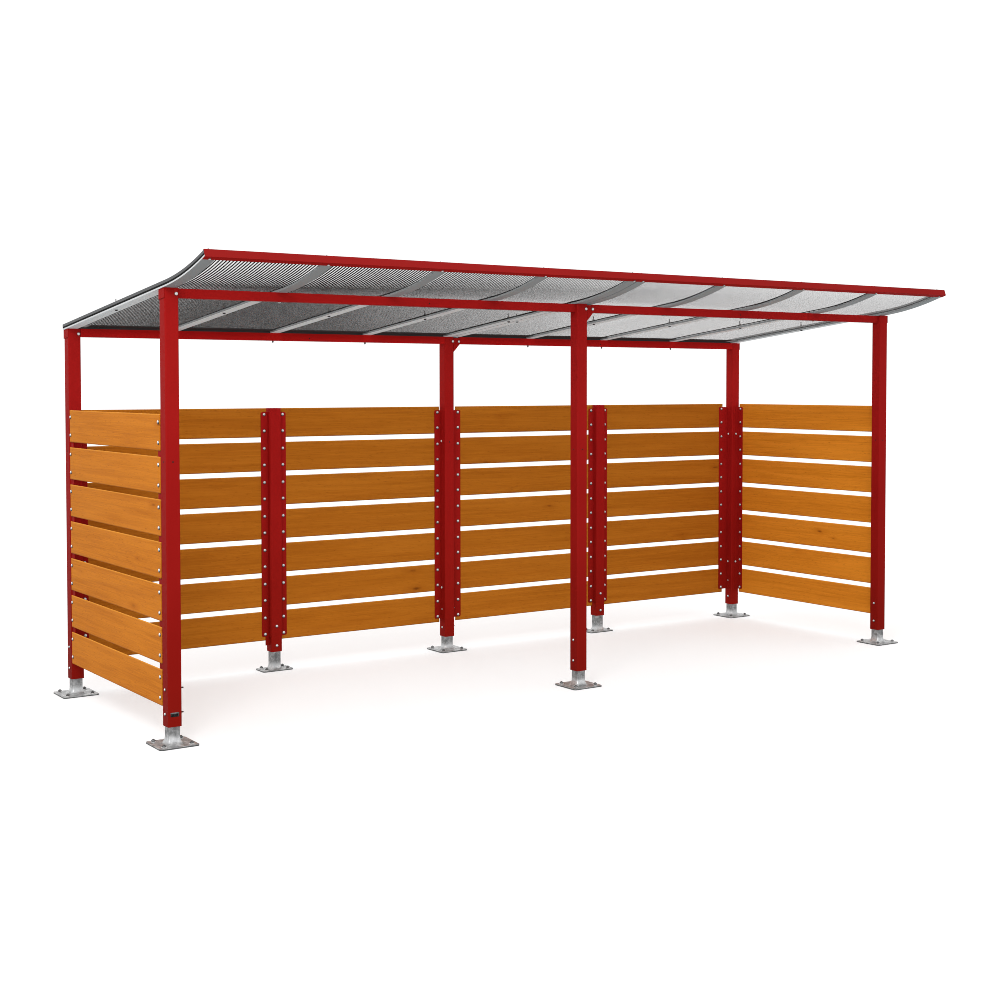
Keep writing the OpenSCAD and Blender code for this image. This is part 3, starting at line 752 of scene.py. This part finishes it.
fl = Build()
an = Build()
fb = Build()
for x, y, short in FEET:
    fr_, fh_ = (22.0, 34.0) if not short else (18.0, 30.0)
    prof = [(-2.0, FOOT_T - 0.4), (fr_, FOOT_T - 0.4), (fr_, FOOT_T + 0.6)]
    for k in range(1, 9):
        t = k / 9 * math.pi / 2
        prof.append((fr_ - fr_ * math.sin(t) + 0.4, FOOT_T + fh_ - (fh_ - 0.6) * math.cos(t)))
    prof += [(0.4, FOOT_T + fh_ + 2.0), (-2.0, FOOT_T + fh_ + 2.6)]
    ring_sweep(fl, x, y, STUB_W / 2, STUB_W / 2, 6.0, prof)
    py = HOLE_SHORT if short else HOLE
    for sx in (-1, 1):
        for sy in (-1, 1):
            p = (x + sx * HOLE / 2, y + sy * py / 2, FOOT_T)
            lathe(an, p, (0, 0, 1), [(0, -6.0), (HOLE_R - 0.6, -6.0), (HOLE_R - 0.6, 0.0), (13.0, 0.0), (13.0, 2.0), (12.4, 2.5), (0, 2.5)], n=18)
            hexes(an, p, (0, 0, 1), 18.0, 2.4, 10.5, 1, rng.uniform(0, 1))
            lathe(an, p, (0, 0, 1), [(0, 10.2), (5.4, 10.2), (6.0, 10.8), (5.4, 11.4), (6.0, 12.0), (5.4, 12.6), (6.0, 13.2), (4.6, 14.4), (0, 14.4)], n=14, mat=1)
    for z in (271.0, 152.0):
        if short:
            dome(fb, (x, y - 35, z), (0, -1, 0), 8.0, 6.5, 9.5, wmat=1)
            nut(fb, (x, y + 35, z), (0, 1, 0), 13.0, 9.0, 3.0, 4.6, mat=1)
        else:
            dome(fb, (x - 35, y, z - 1.0), (-1, 0, 0), 7.0, 6.0, 8.0, wmat=1)
            nut(fb, (x + 35, y, z + 1.0), (1, 0, 0), 10.0, 7.0, 12.5, 4.0, mat=1)
fl.make("weld_flares", [ZINC], sharp=50.0)
an.make("anchor_bolts", [STEEL, DARK_STEEL])
fb.make("bolts_feet", [STEEL, DARK_STEEL])

# ----------------------------------------------------------- frame fasteners
fr = Build()
pl = Build()


def shade_disc(at, axis, r=4.2):
    lathe(pl, at, axis, [(0, -0.8), (r, -0.8), (r, 0.35), (r - 0.8, 0.5), (r * 0.55, 0.2), (0, 0.1)], n=14)


for y in (Y_FRONT, Y_BACK):
    yf = y - 35
    z = under(yf) - 29.0
    dome(fr, (X_LEFT + 23, yf, z), (0, -1, 0), 8.0, 6.5, 9.5, wmat=1)
    dome(fr, (X_MID + 26, yf, z), (0, -1, 0), 8.0, 6.5, 9.5, wmat=1)
    dome(fr, (X_MID + 35 + 38, yf, z), (0, -1, 0), 8.0, 6.5, 9.5, wmat=1)
    dome(fr, (X_LEFT + 23, y + 35, under(y + 35) - 29.0), (0, 1, 0), 8.0, 6.5, 9.5, wmat=1)
    dome(fr, (X_MID + 26, y + 35, under(y + 35) - 29.0), (0, 1, 0), 8.0, 6.5, 9.5, wmat=1)
    dome(fr, (half + 3.5, y, under(y) - 33.0), (1, 0, 0), 9.0, 7.0, 11.0)
    # beam to bar bolts: head under the beam
    inset = BEAM_IN if y == Y_FRONT else 0.0
    yb = yf + inset + 25.0
    lo = under(yf + inset) - BEAM_H
    for x in BARS + [-50.0, 12.0]:
        if X_MID - 35 - 14 < x < X_MID + 35 + 46 + 10:
            continue
        if y == Y_FRONT:
            dome(fr, (x, yb, lo), (0, 0, -1), 8.0, 6.5, 10.0, wmat=1)
        else:
            nut(fr, (x, yb, lo), (0, 0, -1), 9.0, 6.0, 3.0, 3.4, mat=1)
    # painted shade discs for two open holes in each beam front
    shade_disc((-1044.0, yf + inset, under(yf) - 30.0), (0, -1, 0))
    shade_disc((1209.0, yf + inset, under(yf) - 30.0), (0, -1, 0))
# painted shade discs for the open holes on the faces away from the boards, at the upper bracket bolts
for x in (X_LEFT, X_MID, X_RIGHT):
    shade_disc((x, Y_FF, 1371.0), (0, -1, 0))
    shade_disc((x - 35, Y_FRONT, 1371.0), (-1, 0, 0))
shade_disc((X_MID, Y_BACK - 35, 1369.0), (0, -1, 0))
shade_disc((X_LEFT - 35, Y_BACK, 1371.0), (-1, 0, 0))
shade_disc((X_RIGHT + 35, Y_BACK, 1371.0), (1, 0, 0))
shade_disc((X_RIGHT + 35, Y_FRONT, 1371.0), (1, 0, 0))
# bracket legs bolted to the posts
for z in (1375.0, 414.0):
    for at, ax in (((X_MID - 39, Y_BACK, z), (-1, 0, 0)), ((X_MID + 39, Y_BACK, z), (1, 0, 0)),
                   ((X_RIGHT - 39, Y_BACK, z), (-1, 0, 0)), ((X_RIGHT, Y_BACK - 39, z), (0, -1, 0)),
                   ((X_LEFT + 39, Y_BACK, z), (1, 0, 0)), ((X_LEFT, Y_BACK - 39, z), (0, -1, 0)),
                   ((X_LEFT, Y_FRONT + 39, z), (0, 1, 0)), ((X_RIGHT, Y_FRONT + 39, z), (0, 1, 0))):
        dome(fr, at, ax, 7.5, 5.5, 9.0, wmat=1)
fr.make("bolts_frame", [WHITE_STEEL, DARK_STEEL])
pl.make("post_hole_shade_discs", [HOLE_M])

# ---------------------------------------------------------- roof fasteners
rf = Build()
up = (0.0, math.sin(PITCH), math.cos(PITCH))
dn = tuple(-v for v in up)
ALL_BARS = BARS + [-50.0, 12.0, -2505.0, 2460.0]
for x in ALL_BARS:
    y, z = on_flat(198.0, 0.0)
    dome(rf, (x, y, z), dn, 7.5, 6.0, 9.5, mat=1)
    end = abs(x) > 2400
    y, z = on_flat(198.0, O_COVER if end else O_STRIP)
    nut(rf, (x, y, z), up, 11.0, 8.0, 17.0, 3.0, mat=2)
ln = (0.0, math.sin(LIP_PITCH), math.cos(LIP_PITCH))
ld = (0.0, -math.cos(LIP_PITCH), math.sin(LIP_PITCH))
p0 = bend(LIP_PITCH, 0.0)


def lip_at(x, a, o):
    return (x, p0[0] + a * ld[1] + o * ln[1], p0[1] + a * ld[2] + o * ln[2])


for x in ALL_BARS:
    end = abs(x) > 2400
    dome(rf, lip_at(x, -22.0, -3.1), tuple(-v for v in ln), 6.2, 5.0, 7.6, wmat=1)
    nut(rf, lip_at(x, -22.0, O_COVER if end else O_STRIP), ln, 9.0, 7.0, 8.0 if end else 15.0, 3.0, mat=2)
rf.make("bolts_roof", [WHITE_STEEL, DARK_STEEL, STUD_STEEL])

# -------------------------------------------------------- stage and camera
def floor():
    bm = bpy.data.meshes.new("floor")
    n, r = 96, 60.0
    v = [(r * math.cos(2 * math.pi * k / n), r * math.sin(2 * math.pi * k / n), -0.0005) for k in range(n)]
    bm.from_pydata(v, [], [tuple(range(n))])
    ob = bpy.data.objects.new("floor", bm)
    scene.collection.objects.link(ob)
    a = Mat("pale_floor")
    n1 = a.noise(a.coords(), 0.6, 2.0)
    a.link(a.ramp(n1, [(0.3, grey(0.58)), (0.7, grey(0.60))]), a.p.inputs["Base Color"])
    a.put(Roughness=0.9, Specular_IOR_Level=0.0, Emission_Color=(1.0, 1.0, 1.0, 1.0), Emission_Strength=0.46)
    bm.materials.append(a.m)
    ob.visible_diffuse = False
    ob.visible_glossy = False


floor()

w = bpy.data.worlds.new("studio")
scene.world = w
w.use_nodes = True
bg = w.node_tree.nodes["Background"]
# white all round and above, greyer below
wt = w.node_tree
tc = wt.nodes.new("ShaderNodeTexCoord")
sz = wt.nodes.new("ShaderNodeSeparateXYZ")
mr = wt.nodes.new("ShaderNodeMapRange")
mr.inputs["From Min"].default_value = -1.0
cr = wt.nodes.new("ShaderNodeValToRGB")
el = cr.color_ramp.elements
while len(el) < 5:
    el.new(0.5)
for e_, (pos, v_) in zip(el, ((0.0, 0.45), (0.24, 0.40), (0.34, 0.66), (0.42, 1.0), (1.0, 1.0))):
    e_.position = pos
    e_.color = (v_, v_, v_, 1.0)
wt.links.new(tc.outputs["Generated"], sz.inputs[0])
wt.links.new(sz.outputs[2], mr.inputs["Value"])
wt.links.new(mr.outputs["Result"], cr.inputs["Fac"])
wt.links.new(cr.outputs["Color"], bg.inputs["Color"])
bg.inputs["Strength"].default_value = 1.1


def area(name, loc, target, size, power):
    la = bpy.data.lights.new(name, "AREA")
    la.shape = "DISK"
    la.size = size
    la.energy = power
    ob = bpy.data.objects.new(name, la)
    ob.location = loc
    ob.rotation_euler = (Vector(target) - Vector(loc)).to_track_quat("-Z", "Y").to_euler()
    ob.visible_camera = False
    scene.collection.objects.link(ob)


area("key", (-5.6, -4.6, 5.2), (-2.0, -0.3, 1.2), 2.5, 160.0)
area("fill", (-8.5, -13.0, 3.4), (0.0, 0.3, 1.2), 7.0, 420.0)

cam = bpy.data.cameras.new("camera")
cam.sensor_width = 36.0
cam.lens = 53.52
cam.shift_x = -0.0279
cam.shift_y = -0.0635
cam.clip_start, cam.clip_end = 0.05, 200.0
co = bpy.data.objects.new("camera", cam)
co.location = (-5.1805, -7.33882, 1.7386)
co.rotation_euler = (math.pi / 2 - 0.0344, 0.0, -0.6106)
scene.collection.objects.link(co)
scene.camera = co

scene.view_settings.view_transform = "Standard"
scene.view_settings.look = "None"
scene.cycles.transparent_max_bounces = 48
scene.cycles.filter_width = 0.9
